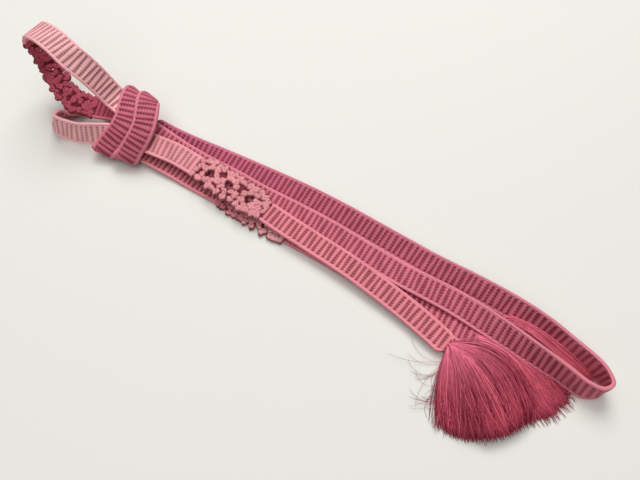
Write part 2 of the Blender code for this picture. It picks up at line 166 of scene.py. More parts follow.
# Long fold: the near run from the knot to the turn, the turn, and the far run back.
# heading and rise turn the band's across direction, which points away from the viewer.
LONG_FOLD = (
    Station(-113, -4.8, 9.0, 90, 16),
    Station(-100, -5.0, 7.0, 90, 14),
    Station(-90, -5.0, 5.4, 90, 12),
    Station(-75, -4.6, 4.5, 90, 9),
    Station(-60, -3.9, 4.2, 90, 7),
    Station(-40, -3.8, 4.0, 90, 5),
    Station(-20, -2.8, 3.8, 90, 4),
    Station(0, -2.4, 3.6, 90, 4),
    Station(20, -3.4, 3.8, 90, 5),
    Station(40, -4.4, 4.2, 90, 8),
    Station(55, -4.4, 5.0, 90, 12),
    Station(72, -4.0, 5.1, 90, 20),
    Station(93, -5.6, 5.8, 90, 36),
    Station(112, -7.8, 6.3, 90, 56),
    Station(127, -9.4, 6.4, 92, 70),
    Station(137.4, -11.0, 6.4, 96, 74),
    Station(144, -9.0, 6.4, 140, 88),
    Station(146.0, -4.4, 6.4, 175, 95),
    Station(142.8, -0.8, 6.3, 117, 78),
    Station(136, 1.6, 6.2, 90, 72),
    Station(125, 4.1, 6.1, 90, 67),
    Station(112, 6.8, 6.1, 90, 61),
    Station(96, 8.4, 5.3, 90, 46),
    Station(76, 8.8, 4.5, 90, 36),
    Station(55, 8.3, 3.9, 90, 30),
    Station(40, 8.7, 3.5, 90, 27),
    Station(20, 9.2, 3.3, 90, 26),
    Station(0, 9.7, 3.0, 90, 23),
    Station(-20, 9.4, 2.7, 90, 19),
    Station(-40, 8.2, 2.4, 90, 16),
    Station(-60, 6.5, 2.2, 90, 13),
    Station(-75, 5.0, 2.2, 90, 13),
    Station(-90, 2.6, 3.0, 90, 20),
    Station(-102, 0.6, 4.6, 90, 26),
    Station(-113, -0.2, 5.8, 90, 30),
)

# Top cord: from the knot along the bundle to the near tassel.
STRAND_3 = (
    Station(-113, -12.8, 10.6, 92, 10),
    Station(-104, -11.4, 10.0, 92, 10),
    Station(-92, -9.4, 8.8, 90, 8),
    Station(-76, -9.2, 7.7, 90, 4),
    Station(-60, -9.8, 7.5, 90, 2),
    Station(-40, -11.2, 6.9, 90, 1),
    Station(-20, -12.5, 5.9, 90, 1),
    Station(0, -13.4, 5.2, 90, 0),
    Station(20, -14.6, 5.0, 90, 0),
    Station(38, -16.6, 4.4, 86, -1),
    Station(55, -19.0, 3.8, 82, 0),
    Station(68, -21.6, 3.7, 78, 0),
    Station(76.5, -23.4, 3.0, 76, -3),
)

# Bottom cord: under the top one, out again on its far side, to the other tassel.
STRAND_4 = (
    Station(-110, -15.2, 4.2, 90, 2),
    Station(-103, -14.8, 3.2, 90, 2),
    Station(-90, -14.0, 2.0, 90, 2),
    Station(-83, -13.9, 1.3, 90, 1),
    Station(-76, -13.8, 1.1, 90, 0),
    Station(-60, -13.6, 1.1, 90, 0),
    Station(-40, -13.8, 1.1, 90, 0),
    Station(-20, -13.6, 1.1, 90, 0),
    Station(0, -13.1, 1.1, 90, 0),
    Station(20, -13.3, 1.1, 90, 0),
    Station(38, -13.8, 1.1, 90, 0),
    Station(55, -13.8, 1.1, 90, 0),
    Station(70, -13.2, 1.1, 90, 0),
    Station(87, -13.2, 1.1, 90, 0),
)

# Large loop: up out of the knot, over, down as lace and back along the table.
LOOP_1 = (
    Station(-127.6, -2.8, 15.0, 92, 0),
    Station(-133.5, -2.6, 16.8, 92, 0),
    Station(-139, -2.8, 20.0, 92, 0),
    Station(-144, -3.6, 27.0, 92, 0),
    Station(-149, -5.4, 36.0, 88, 4),
    Station(-156, -6.8, 42.8, 80, 12),
    Station(-166, -5.8, 46.8, 86, 6),
    Station(-178, -4.4, 46.8, 92, 0),
    Station(-187, -3.4, 43.0, 95, -4),
    Station(-190.4, -3.8, 36.0, 92, 0),
    Station(-188, -3.6, 27.0, 88, 4),
    Station(-184.6, -4.8, 18.6, 80, 10),
    Station(-179, -7.4, 13.8, 66, 18),
    Station(-171, -10.2, 11.9, 64, 14),
    Station(-161, -11.4, 11.0, 76, 12),
    Station(-151, -9.8, 10.4, 96, 12),
    Station(-142, -7.0, 10.8, 100, 10),
    Station(-134, -5.2, 11.7, 96, 4),
    Station(-127.6, -4.4, 11.9, 94, 0),
)

# Small loop: out of the knot on edge, round, and back flat.
LOOP_2 = (
    Station(-125.6, -16.8, 10.0, 104, 38),
    Station(-129.0, -18.8, 10.4, 104, 46),
    Station(-132.6, -21.0, 10.9, 104, 54),
    Station(-138, -24.6, 11.3, 102, 60),
    Station(-145, -28.0, 10.9, 98, 66),
    Station(-152, -29.9, 11.2, 98, 70),
    Station(-159.5, -30.5, 10.8, 84, 72),
    Station(-165.0, -25.6, 8.0, 20, 58),
    Station(-166.5, -18.0, 3.8, -5, 24),
    Station(-165, -9.0, 1.8, -20, 6),
    Station(-158, -2.4, 1.6, -60, 0),
    Station(-150, 0.2, 3.4, -86, 0),
    Station(-142, -0.8, 7.2, -90, 0),
    Station(-134, -2.2, 8.6, -90, 0),
    Station(-127.6, -3.0, 8.8, -90, 0),
)

# Routes, and the stretches of each: share of the route where it ends, width, dye at its start,
# dye that it fades to, and how far in mm it runs on before its start and after its end
ROUTES = (
    (LONG_FOLD, (
        Stretch("strand_2", 0.455, BAND_WIDTH, "rose", "rose", 4, 0),
        Stretch("right_fold", 0.552, BAND_WIDTH, "rose", "rose", 0, 0),
        Stretch("strand_1", 1.0, BAND_WIDTH, "rose", "plum", 0, 4),
    )),
    (STRAND_3, (
        Stretch("strand_3_left", 0.182, BAND_WIDTH, "pale", "pale", 4, 0),
        Stretch("strand_3_lace", 0.430, LACE_WIDTH, "pale", "pale", 0, 0),
        Stretch("strand_3_right", 1.0, BAND_WIDTH, "pink", "pink", 0, 3),
    )),
    # Strand 4's left part and lace take lighter dyes than its right part: the pink it shows there,
    # raised as painted light where it lies in the top cord's shadow
    (STRAND_4, (
        Stretch("strand_4_left", 0.26, BAND_WIDTH, "pink", "pink", 3, 0),
        Stretch("strand_4_lace", 0.48, LACE_WIDTH, "pink", "light", 0, 0),
        Stretch("strand_4_right", 1.0, BAND_WIDTH, "rose", "rose", 0, 2.5),
    )),
    (LOOP_1, (
        Stretch("loop_1_top", 0.405, LOOP_WIDTH, "light", "light", 1, 0),
        Stretch("loop_1_turn", 0.50, LOOP_WIDTH, "light", "pink", 0, 0),
        Stretch("loop_1_lace", 0.86, BAND_WIDTH, "deep", "deep", 0, 0),
        Stretch("loop_1_return", 1.0, BAND_WIDTH, "deep", "deep", 0, 1),
    )),
    (LOOP_2, (
        Stretch("loop_2_front", 0.41, BAND_WIDTH, "light", "light", 0, 0),
        Stretch("loop_2_turn", 0.66, BAND_WIDTH, "pale", "pale", 0, 0),
        Stretch("loop_2_back", 1.0, BAND_WIDTH, "pale", "pale", 0, 0),
    )),
)

# Middle of each opening as a share of its lace's length, how far each edge has lobes, and the
# openings' width and the knots' height in mm
LACES = {
    "strand_3_lace": Lace((0.20, 0.47, 0.76), 1.0, 1.0, 5.2, 1.6),
    "strand_4_lace": Lace((0.20, 0.50, 0.80), 1.0, 0.0, 5.0, 1.5),
    "loop_1_lace": Lace((0.15, 0.36, 0.57, 0.78), 0.3, 0.0, 1.6, 1.15),
}

# Middle of the band on the two turns of the wraps, from low at the back up, over and down the
# front; nearer_left moves the left one toward the viewer
WRAP_TURN = (
    Turn(-123.5, -133.2, 2.0, 3.2, 0),
    Turn(-123.7, -133.8, 7.0, 7.0, 0),
    Turn(-123.6, -133.6, 9.8, 13.0, 0),
    Turn(-122.6, -132.0, 9.0, 18.8, 0),
    Turn(-119.8, -130.0, 4.6, 22.4, 0),
    Turn(-115.7, -127.8, -1.8, 22.2, 0),
    Turn(-112.6, -125.2, -8.4, 19.6, 0),
    Turn(-111.6, -124.4, -14.8, 16.6, 0.3),
    Turn(-112.8, -126.4, -20.2, 12.4, 1.2),
    Turn(-113.7, -128.0, -24.4, 8.8, 2.6),
    Turn(-115.0, -129.0, -26.2, 6.2, 3.6),
    Turn(-117.0, -129.4, -24.6, 4.0, 3.4),
    Turn(-120.0, -131.2, -18.5, 3.1, 1.6),
    Turn(-122.2, -133.4, -8.0, 3.0, 0.6),
)

# Heads of the two tassels. first and last are the directions of the fan's sides, short and long
# its threads' lengths there. height is the stack's, and lift raises what lies over the other
# tassel. left and right spread the fan's sides at its head, deep is how dark the threads are,
# and strays and tucked count the loose hairs and the threads tucked under the band.
TASSELS = (
    Tassel("tassel_near", 78.8, -23.4, -68, -15, 37.0, 46.8, 4.2, 3.4, 0.4, 1.9, 5.0, 34, 0),
    Tassel("tassel_far", 88.4, -11.2, -56, -5, 33.0, 47.2, 2.6, 0.0, 0.4, 0.8, 3.2, 6, 240),
)

# Course of the threads tucked under the band
TUCKED_THREADS = (
    Place(89.0, -9.0, 1.2),
    Place(94.0, -3.0, 1.6),
    Place(100.0, 3.0, 3.0),
    Place(112.0, 3.2, 4.0),
    Place(126.0, 0.8, 3.8),
    Place(139.5, -3.8, 2.8),
)

# How much of the ribs' dye the painted shade in the grooves keeps, as a rule and where it differs
USUAL_GROOVE_SHARE = 0.04
GROOVE_SHARES = {
    "loop_1_top": 0.20,
    "loop_1_turn": 0.20,
    "loop_2_front": 0.38,
    "strand_3_left": 0.30,
    "right_fold": 0.25,
    "loop_1_lace": 0.0,
    "strand_3_lace": 0.0,
    "strand_4_lace": 0.0,
}

# Painted highlight on the edge cords: a lighter dye, and its share over the stretch's own
EDGE_HIGHLIGHT_DYE = (0.92, 0.38, 0.45, 1.0)
EDGE_HIGHLIGHT_SHARE = 0.35

# What the tassels' dye is multiplied by at their heads, at their tips and in their shade
HEAD_TINT = (1.06, 1.80, 1.60)
TIP_TINT = (0.78, 0.0, 0.26)
SHADE_TINT = (0.22, 0.07, 0.13)

# Painted highlight at the tassels' heads: how much lighter the threads are there and how fast that
# fades along them; and how fast the head's dye turns to the tips'
HEAD_HIGHLIGHT = 0.75
HIGHLIGHT_FADE = 1.7
TIP_FADE = 1.2

# How the silk of the band and the threads of the tassels take the light, and how fine the
# silk's clouds and fibres are
BAND_SILK = Finish(0.55, 0.22, 0.08, 0.4)
THREAD_SILK = Finish(0.42, 0.05, 0.0, 0.0)
SHEEN_TINT = (1.0, 0.62, 0.68, 1.0)
CLOUD_SCALE = 90.0
FIBRE_SCALE = 2200.0

# Tone of the silk where it is plain, and what clouds, fibres and the painted highlight on edge
# cords add to it
PLAIN_TONE = 0.90
CLOUD_TONE = 0.30
FIBRE_TONE = 0.28
EDGE_HIGHLIGHT_TONE = 0.06

# Size given to the floor's grid, in metres, and its paper
FLOOR_SIZE = 3.0
PAPER = (0.80, 0.79, 0.74, 1.0)
PAPER_ROUGHNESS = 0.8

# Studio lights: place and size in metres, power in watts
LIGHTS = (
    ("key", (-0.40, 0.75, 1.1), 0.9, 12.0),
    ("fill", (0.5, -0.9, 1.2), 1.2, 5.5),
    ("sky", (-0.15, 0.1, 1.9), 2.4, 22.5),
)

# The photograph's camera, in the working frame
CAMERA_PLACE = (82.0, -136.0, 265.0)
CAMERA_FORWARD = (-0.2723, 0.4193, -0.8660)
CAMERA_RIGHT = (0.8387, 0.5446, 0.0)
SENSOR = 36.0
FOCAL_LENGTH = 33.75


class Settings(bpy.types.PropertyGroup):
    """Sizes of the weave and of the threads."""

    rib_pitch: bpy.props.FloatProperty(
        name="Rib pitch", description="Distance from rib to rib", default=2.92 * MM,
        min=1.0 * MM, max=6.0 * MM, subtype="DISTANCE", unit="LENGTH")
    bead_width: bpy.props.FloatProperty(
        name="Bead width", description="Width of one hitch of a rib", default=1.5 * MM,
        min=0.5 * MM, max=3.0 * MM, subtype="DISTANCE", unit="LENGTH")
    edge_cord: bpy.props.FloatProperty(
        name="Edge cord", description="Width of the cord along each edge", default=1.5 * MM,
        min=0.5 * MM, max=3.0 * MM, subtype="DISTANCE", unit="LENGTH")
    thread_width: bpy.props.FloatProperty(
        name="Thread width", description="Width of a tassel's thread", default=0.40 * MM,
        min=0.1 * MM, max=1.0 * MM, subtype="DISTANCE", unit="LENGTH")
    thread_count: bpy.props.IntProperty(
        name="Threads", description="Threads in each tassel", default=1500, min=100, max=4000)


class Dyes(bpy.types.PropertyGroup):
    """Colours of the silk."""

    pale: bpy.props.FloatVectorProperty(
        name="Pale", description="Ribs of the pale stretches", subtype="COLOR", size=3,
        default=(0.84, 0.34, 0.365), min=0.0, max=1.0)
    # Painted light: a lit copy of the pale dye, for the loops' top and front stretches and the end
    # of strand 4's lace
    light: bpy.props.FloatVectorProperty(
        name="Light", description="Ribs of the loops' lightest stretches", subtype="COLOR",
        size=3, default=(1.0, 0.53, 0.535), min=0.0, max=1.0)
    pink: bpy.props.FloatVectorProperty(
        name="Pink", description="Ribs of the pink stretches", subtype="COLOR", size=3,
        default=(0.79, 0.235, 0.275), min=0.0, max=1.0)
    rose: bpy.props.FloatVectorProperty(
        name="Rose", description="Ribs of the rose stretches", subtype="COLOR", size=3,
        default=(0.69, 0.17, 0.235), min=0.0, max=1.0)
    wrap: bpy.props.FloatVectorProperty(
        name="Wrap", description="Ribs of the wraps", subtype="COLOR", size=3,
        default=(0.65, 0.15, 0.22), min=0.0, max=1.0)
    plum: bpy.props.FloatVectorProperty(
        name="Plum", description="Ribs that rose fades to by the knot", subtype="COLOR", size=3,
        default=(0.55, 0.115, 0.20), min=0.0, max=1.0)
    # The band's darker inner face, dyed darker still as painted shade on the large loop's lower
    # part and lace, which lie in the loop's shadow
    deep: bpy.props.FloatVectorProperty(
        name="Deep", description="Ribs and lace of the large loop's lower part", subtype="COLOR",
        size=3, default=(0.54, 0.095, 0.145), min=0.0, max=1.0)
    # Painted shade: the dark dye in the grooves between ribs and on the lace between its knots
    groove_shade: bpy.props.FloatVectorProperty(
        name="Groove", description="Thread in the grooves between ribs", subtype="COLOR", size=3,
        default=(0.15, 0.008, 0.022), min=0.0, max=1.0)
    tassel: bpy.props.FloatVectorProperty(
        name="Tassel", description="Thread of the tassels", subtype="COLOR", size=3,
        default=(0.84, 0.088, 0.18), min=0.0, max=1.0)


def detail(full):
    """A count or a size, at full detail."""
    return full


def catmull(points, count):
    """Smooth curve through the rows of points, count samples to each gap."""
    rows = np.vstack((2 * points[0] - points[1], points, 2 * points[-1] - points[-2]))
    t = (np.arange(count) / count)[:, None]
    samples = []
    for i in range(len(points) - 1):
        p0, p1, p2, p3 = rows[i:i + 4]
        samples.append(0.5 * (2 * p1 + (p2 - p0) * t + (2 * p0 - 5 * p1 + 4 * p2 - p3) * t ** 2
                              + (3 * p1 - p0 - 3 * p2 + p3) * t ** 3))
    samples.append(points[-1:])
    return np.vstack(samples)


def unit(rows):
    """Rows of vectors, each scaled to a length of 1."""
    return rows / np.linalg.norm(rows, axis=-1, keepdims=True)


def direction(heading, rise):
    """Unit vector at a heading, from the X axis toward Y, and a rise above XY, in degrees."""
    flat = math.cos(math.radians(rise))
    turn = math.radians(heading)
    return (flat * math.cos(turn), flat * math.sin(turn), math.sin(math.radians(rise)))


class Course:
    """A line in space with an across direction, read by the distance along it."""

    def __init__(self, places, sides):
        self.places = places
        self.sides = sides
        steps = np.linalg.norm(np.diff(places, axis=0), axis=1)
        self.marks = np.concatenate(([0.0], np.cumsum(steps)))
        self.length = self.marks[-1]

    def read(self, rows, distances):
        """Rows of vectors, one to each place, read at the distances."""
        return np.stack([np.interp(distances, self.marks, rows[:, k]) for k in range(3)], axis=1)

    def frames(self, distances):
        """Places, across and face directions at the distances."""
        reach = 0.4 * MM
        ahead = self.read(self.places, np.clip(distances + reach, 2 * reach, self.length))
        behind = self.read(self.places, np.clip(distances - reach, 0.0, self.length - 2 * reach))
        along = unit(ahead - behind)
        across = self.read(self.sides, distances)
        across = unit(across - along * np.sum(across * along, axis=1, keepdims=True))
        beyond = distances - np.clip(distances, 0.0, self.length)
        places = self.read(self.places, distances) + along * beyond[:, None]
        return places + SHIFT, across, np.cross(along, across)


def route(stations):
    """Course through stations."""
    centres = np.array([(s.x, s.y, s.z) for s in stations]) * MM
    sides = np.array([direction(s.heading, s.rise) for s in stations])
    return Course(catmull(centres, SAMPLES), catmull(sides, SAMPLES))


def wrap_course(rows, lean, inset):
    """Closed course of one turn of the wraps, moved inward and its right edge leaning in."""
    rows = np.array(rows) * MM
    closed = np.vstack((rows[-1], rows, rows[:2]))
    places = catmull(closed, SAMPLES)[SAMPLES:-SAMPLES]
    along = unit(np.roll(places[:-1], -1, axis=0) - np.roll(places[:-1], 1, axis=0))
    along = np.vstack((along, along[:1]))
    outward = unit(np.cross((1.0, 0.0, 0.0), along))
    outward *= np.sign(np.sum(outward * (places - rows.mean(axis=0)), axis=1))[:, None]
    across = np.cross(outward, along)
    across *= np.sign(across[:, :1])
    turn = math.radians(lean)
    sides = across * math.cos(turn) - outward * math.sin(turn)
    return Course(eased(places - outward * inset, PLACE_PASSES), eased(sides, SIDE_PASSES))


def eased(rows, passes):
    """Closed rows, its last the same as its first, evened out by a number of passes."""
    loose = rows[:-1]
    for _ in range(passes):
        for step in (1, 3):
            loose = loose / 2 + (np.roll(loose, step, axis=0) + np.roll(loose, -step, axis=0)) / 4
    return np.vstack((loose, loose[:1]))


def smooth_step(values):
    """Ease from 0 to 1, flat at both ends."""
    values = np.clip(values, 0.0, 1.0)
    return values * values * (3.0 - 2.0 * values)


def band_relief(settings, across, ribs, width):
    """Half thickness of the band, how much dye its painted shade leaves, and which points are its
    edges.

    across and ribs are each point's distance across the band and its count of ribs along it.
    """
    half = width / 2
    cord = settings.edge_cord / 2
    from_end = np.clip(np.minimum(ribs, ribs.max() - ribs), 0.0, 1.0)
    uneven = from_end * np.sin(1.9 * ribs + 1.3 * across / half)
    ragged = from_end * np.sin(4.7 * ribs - 2.0 * across / half)
    column = across / settings.bead_width + HITCH_STRAY * ragged
    hitch = np.abs(np.cos(np.pi * column))
    phase = ribs + RIB_SLANT * across / half + HITCH_WAVE * np.cos(math.tau * column)
    phase += LONG_STRAY * uneven + SHORT_STRAY * ragged
    swell = np.abs(np.sin(np.pi * phase)) ** 0.85
    crest = swell * (1.0 - HITCH_SHARE + HITCH_SHARE * hitch)
    middle = (GROOVE_HALF + RIB_RISE * crest) * MM
    from_cord = np.clip((np.abs(across) - (half - cord)) / cord, -1.0, 1.0)
    twist = np.abs(np.sin(np.pi * (1.5 * ribs + 0.5 * from_cord)))
    bulge = np.sqrt(np.clip(1.0 - from_cord ** 2, 0.0, 1.0))
    edge = (CORD_FOOT + CORD_RISE * bulge * (1.0 - TWIST_SHARE + TWIST_SHARE * twist)) * MM
    outside = np.abs(across) > half - 2 * cord
    height = np.where(outside, edge, middle)
    # Painted shade: darker between an edge cord's twists and down a rib's sides into the groove
    on_cord = CORD_UNSHADED + (1.0 - CORD_UNSHADED) * twist * (1.0 - from_cord ** 2)
    on_rib = np.maximum(np.clip(RIB_SCALED * crest - RIB_LOWERED, 0.0, 1.0),
                        HITCH_UNSHADED * hitch ** 3)
    return height, np.where(outside, on_cord, on_rib), outside


def add_piece(name, mesh, material):
    """Object of a mesh that rides on the cord, with its material."""
    mesh.polygons.foreach_set("use_smooth", np.ones(len(mesh.polygons), dtype=bool))
    piece = bpy.data.objects.new(name, mesh)
    bpy.context.scene.collection.objects.link(piece)
    mesh.materials.append(material)
    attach(piece, "root")
    return piece


def write_points(mesh, points, paint):
    """Set a mesh's points and its paint attribute."""
    mesh.vertices.foreach_set("co", np.ascontiguousarray(points, dtype=np.float32).ravel())
    layer = mesh.attributes.get("weave") or mesh.attributes.new("weave", "FLOAT_COLOR", "POINT")
    layer.data.foreach_set("color", np.ascontiguousarray(paint, dtype=np.float32).ravel())


def band_mesh(name, course, start, end, width, tucks=(0.0, 0.0), closed=False):
    """Ribbed band along a course, as one closed mesh with both faces ribbed.

    tucks run it on past its start and end, into the knot or a tassel's head.
    """
    settings = bpy.context.scene.obi_cord
    ribs = max(2, round((end - start) / settings.rib_pitch))
    rows = ribs * detail(8)
    columns = detail(68)
    turns = np.linspace(0.0, 1.0, columns + 1)
    side = np.where(turns <= 0.5, 1.0, -1.0)
    swing = np.where(turns <= 0.5, 4 * turns - 1, 3 - 4 * turns)
    across_at = np.sin(swing * np.pi / 2 * CROWDING) / math.sin(np.pi / 2 * CROWDING) * width / 2
    before, after = (tuck * MM / (end - start) for tuck in tucks)
    extra = [round(rows * tuck) for tuck in (before, after)]
    along_at = np.arange(-extra[0], rows + extra[1] + 1) / rows
    rows += sum(extra)
    u, v = np.meshgrid(across_at, along_at)
    height, unshaded, outside = band_relief(settings, u, v * ribs, width)
    places, across, normal = course.frames(start + (end - start) * along_at)
    lift = height * side[None]
    if closed:
        places[-1], across[-1], normal[-1] = places[0], across[0], normal[0]
        outward = np.sign(np.sum(normal * (places - places.mean(axis=0)), axis=1))
        lift = lift - outward[:, None] * CROWN * (2 * u / width) ** 4
    if after > 0:
        rounding = np.clip((v - 1.0 - after) * (end - start) / ROUNDED_END + 1.0, 0.0, 1.0)
        u = u * np.sqrt(1.0 - END_NARROWING * rounding ** 2)
    points = (places[:, None] + across[:, None] * u[..., None]
              + normal[:, None] * lift[..., None])
    points[:, -1] = points[:, 0]
    paint = np.stack((unshaded, v, outside * 1.0, np.ones_like(v)), axis=-1)
    sheet = bmesh.new()
    bmesh.ops.create_grid(sheet, x_segments=columns, y_segments=rows, size=0.5)
    mesh = bpy.data.meshes.new(name)
    sheet.to_mesh(mesh)
    sheet.free()
    write_points(mesh, points.reshape(-1, 3), paint.reshape(-1, 4))
    sheet = bmesh.new()
    sheet.from_mesh(mesh)
    bmesh.ops.remove_doubles(sheet, verts=sheet.verts, dist=1e-7)
    if not closed:
        bmesh.ops.holes_fill(sheet, edges=sheet.edges)
    bmesh.ops.recalc_face_normals(sheet, faces=sheet.faces)
    sheet.to_mesh(mesh)
    sheet.free()
    return mesh


def lace_outline(share, lace, near):
    """Half width of a lace at shares of its length, on its near or far edge."""
    lobes = lace.near_lobes if near else lace.far_lobes
    grow = np.minimum(1.0, 8.0 * np.minimum(share, 1 - share))
    offsets = (share[..., None] - np.array(lace.holes)) / LOBE_SHARE
    lobe = np.clip(1.0 - offsets ** 2, 0.0, 1.0).max(axis=-1)
    return BAND_WIDTH / 2 + (LACE_WIDTH - BAND_WIDTH) / 2 * grow * lobes * np.sqrt(lobe)


def lace_knots(name, lace, length):
    """Middles of the lace's knots, as distances along and across it."""
    random = np.random.default_rng(sum(map(ord, name)))
    opening = lace.opening * MM / 2
    knots = []
    for hole in lace.holes:
        start = random.uniform(0.0, 0.5)
        for turn in (np.arange(RING_KNOTS) + start) * math.tau / RING_KNOTS:
            reach = opening + random.uniform(1.35, 1.75) * MM
            knots.append((hole * length + reach * math.cos(turn), reach * math.sin(turn)))
    for row in np.arange(1.0 * MM, length, KNOT_SPACING * KNOT_ROWS):
        share = np.array(row / length)
        near = lace_outline(share, lace, True) - KNOT_INSET
        far = lace_outline(share, lace, False) - KNOT_INSET
        count = max(3, round((near + far) / KNOT_SPACING))
        for k in (0, count, *range(1, count)):
            place = -near + (near + far) * k / count
            knots.append((row + random.normal() * 0.35 * MM, place + random.normal() * 0.3 * MM))
    kept = []
    for knot in knots:
        apart = min((math.dist(knot, other) for other in kept), default=1.0)
        clear = min(math.dist(knot, (hole * length, 0.0)) for hole in lace.holes)
        if apart > KNOT_SPACING * KNOT_CLOSEST and clear > opening + 1.0 * MM:
            kept.append(knot)
    return np.array(kept)


def lace_relief(name, lace, length, u, v):
    """Half thickness of a lace, how much dye its painted shade leaves, and which of its points are
    kept.

    u is each point's distance across the lace and v its share of the length.
    """
    knots = lace_knots(name, lace, length)
    random = np.random.default_rng(len(knots))
    far = v * length / MM
    aside = u / MM
    shift_far = KNOT_WARP * np.sin(aside / 0.8 + 1.3 * np.sin(far / 1.3))
    shift_aside = KNOT_WARP * np.sin(far / 0.9 + 1.1 * np.sin(aside / 1.1))
    gaps = np.stack((far + shift_far, aside + shift_aside), axis=-1)[:, :, None] * MM - knots
    lay = random.uniform(0.0, math.tau, len(knots))
    turned = np.stack((gaps[..., 0] * np.cos(lay) + gaps[..., 1] * np.sin(lay),
                       gaps[..., 1] * np.cos(lay) - gaps[..., 0] * np.sin(lay)), axis=-1)
    size = random.uniform(0.84, 1.20, len(knots))
    apart = np.linalg.norm(turned * (0.88, 1.12), axis=-1) / size
    nearest = apart.argmin(axis=-1)
    curled = random.uniform(0.0, 1.0, len(knots))[nearest]
    best = apart.min(axis=-1)
    local = np.take_along_axis(turned, nearest[..., None, None], axis=2)[:, :, 0] / MM
    dome = np.sqrt(np.clip(1.0 - (best / KNOT_RADIUS) ** 2, 0.0, 1.0))
    # A knot has a pit at its eye, or a crease along a bent slit, or some of both
    eye = np.hypot(local[..., 0] - 0.15, local[..., 1] * 1.15)
    slit = np.clip(local[..., 0], -1.2, 0.7)
    curl = (1.0 - curled) * np.exp(-(eye / 0.50) ** 2)
    fold = curled * np.exp(-((local[..., 1] + 0.5 * slit ** 2 - 0.25) / 0.30) ** 2)
    ply = np.abs(np.sin(3.4 * local[..., 0] + 2.6 * local[..., 1]))
    knot = dome * (lace.relief * (0.90 + 0.10 * ply) - 0.55 * curl - 0.50 * fold)
    height = (LACE_HALF + knot) * MM
    # Painted shade: darker toward each knot's rim and on the web between knots, in its eye and
    # along its crease; lighter and darker stripes follow its plies
    unshaded = smooth_step(dome * 1.04) ** 1.8 * (0.74 + 0.26 * ply) - 0.55 * curl - 0.55 * fold
    hole = np.hypot((v[..., None] - np.array(lace.holes)) * length, u[..., None]).min(axis=-1)
    limit = np.where(u < 0, lace_outline(v, lace, True), lace_outline(v, lace, False))
    on_knot = best < KNOT_RADIUS * 0.97
    keep = (np.abs(u) < limit - WEB_INSET) | on_knot
    opening = lace.opening * MM / 2
    keep &= (hole > opening + 0.3 * MM) | on_knot & (hole > opening - 0.6 * MM)
    return height, np.clip(unshaded, 0.0, 1.0), keep


def lace_mesh(name, course, start, end, lace):
    """Open knotwork: a closed sheet of curled knots, cut through at its openings."""
    length = end - start
    width = LACE_WIDTH + 2 * MM
    cell = detail(0.30) * MM
    rows = round(length / cell)
    columns = round(width / cell)
    across_at = np.linspace(-0.5, 0.5, columns + 1) * width
    along_at = np.linspace(0.0, 1.0, rows + 1)
    u, v = np.meshgrid(across_at, along_at)
    height, unshaded, keep = lace_relief(name, lace, length, u, v)
    places, across, normal = course.frames(start + length * along_at)
    middle = places[:, None] + across[:, None] * u[..., None]
    lift = normal[:, None] * height[..., None]
    bottom = (middle - lift).reshape(-1, 3)
    top = (middle + lift).reshape(-1, 3)
    paint = np.stack((unshaded, v, np.zeros_like(v), np.ones_like(v)), axis=-1).reshape(-1, 4)
    cells = keep[:-1, :-1] & keep[1:, :-1] & keep[:-1, 1:] & keep[1:, 1:]
    sheet = bmesh.new()
    bmesh.ops.create_grid(sheet, x_segments=columns, y_segments=rows, size=0.5)
    mark = sheet.verts.layers.int.new("row")
    sheet.verts.ensure_lookup_table()
    for i, vert in enumerate(sheet.verts):
        vert[mark] = i
    sheet.faces.ensure_lookup_table()
    gone = [sheet.faces[i] for i in np.flatnonzero(~cells.ravel())]
    bmesh.ops.delete(sheet, geom=gone, context="FACES")
    grown = bmesh.ops.extrude_face_region(sheet, geom=sheet.faces[:], use_keep_orig=True)
    upper = {item for item in grown["geom"] if isinstance(item, bmesh.types.BMVert)}
    for vert in sheet.verts:
        vert.co = top[vert[mark]] if vert in upper else bottom[vert[mark]]
    order = np.array([vert[mark] for vert in sheet.verts])
    bmesh.ops.recalc_face_normals(sheet, faces=sheet.faces)
    mesh = bpy.data.meshes.new(name)
    sheet.to_mesh(mesh)
    points = np.array([vert.co[:] for vert in sheet.verts])
    sheet.free()
    write_points(mesh, points, paint[order])
    return mesh


def tube_mesh(name, lines, radii, shades):
    """Three-sided threads along rows of points, one row of points to a thread."""
    count, steps = lines.shape[:2]
    along = unit(np.gradient(lines, axis=1))
    side = unit(np.cross(along, (0.0, 0.0, 1.0)) + 1e-9)
    over = np.cross(side, along)
    turns = np.arange(3) * math.tau / 3
    ring = (side[:, :, None] * np.cos(turns)[None, None, :, None]
            + over[:, :, None] * np.sin(turns)[None, None, :, None])
    points = lines[:, :, None] + ring * radii[:, :, None, None]
    index = np.arange(count * steps * 3).reshape(count, steps, 3)
    low = index[:, :-1]
    high = index[:, 1:]
    faces = np.stack((low, np.roll(low, -1, axis=2), np.roll(high, -1, axis=2), high), axis=-1)
    caps = np.concatenate((index[:, 0, ::-1], index[:, -1]))
    mesh = bpy.data.meshes.new(name)
    mesh.from_pydata(points.reshape(-1, 3).tolist(), [],
                     faces.reshape(-1, 4).tolist() + caps.tolist())
    paint = np.ones((count, steps, 3, 4))
    share = np.linspace(0.0, 1.0, steps)[None, :]
    # Painted highlight: threads lighter toward the tassel's head
    head_highlight = HEAD_HIGHLIGHT * np.clip(1.0 - HIGHLIGHT_FADE * share, 0.0, 1.0)
    paint[..., 0] = (shades[:, None] + (1.0 - shades[:, None]) * head_highlight)[..., None]
    paint[..., 1] = (1.0 - (1.0 - share) ** TIP_FADE)[..., None]
    write_points(mesh, points.reshape(-1, 3), paint.reshape(-1, 4))
    return mesh


def scattered(values):
    """A number from 0 to 1 for each value, without a pattern."""
    return np.abs(np.sin(values * 12.9898) * 43758.5) % 1.0


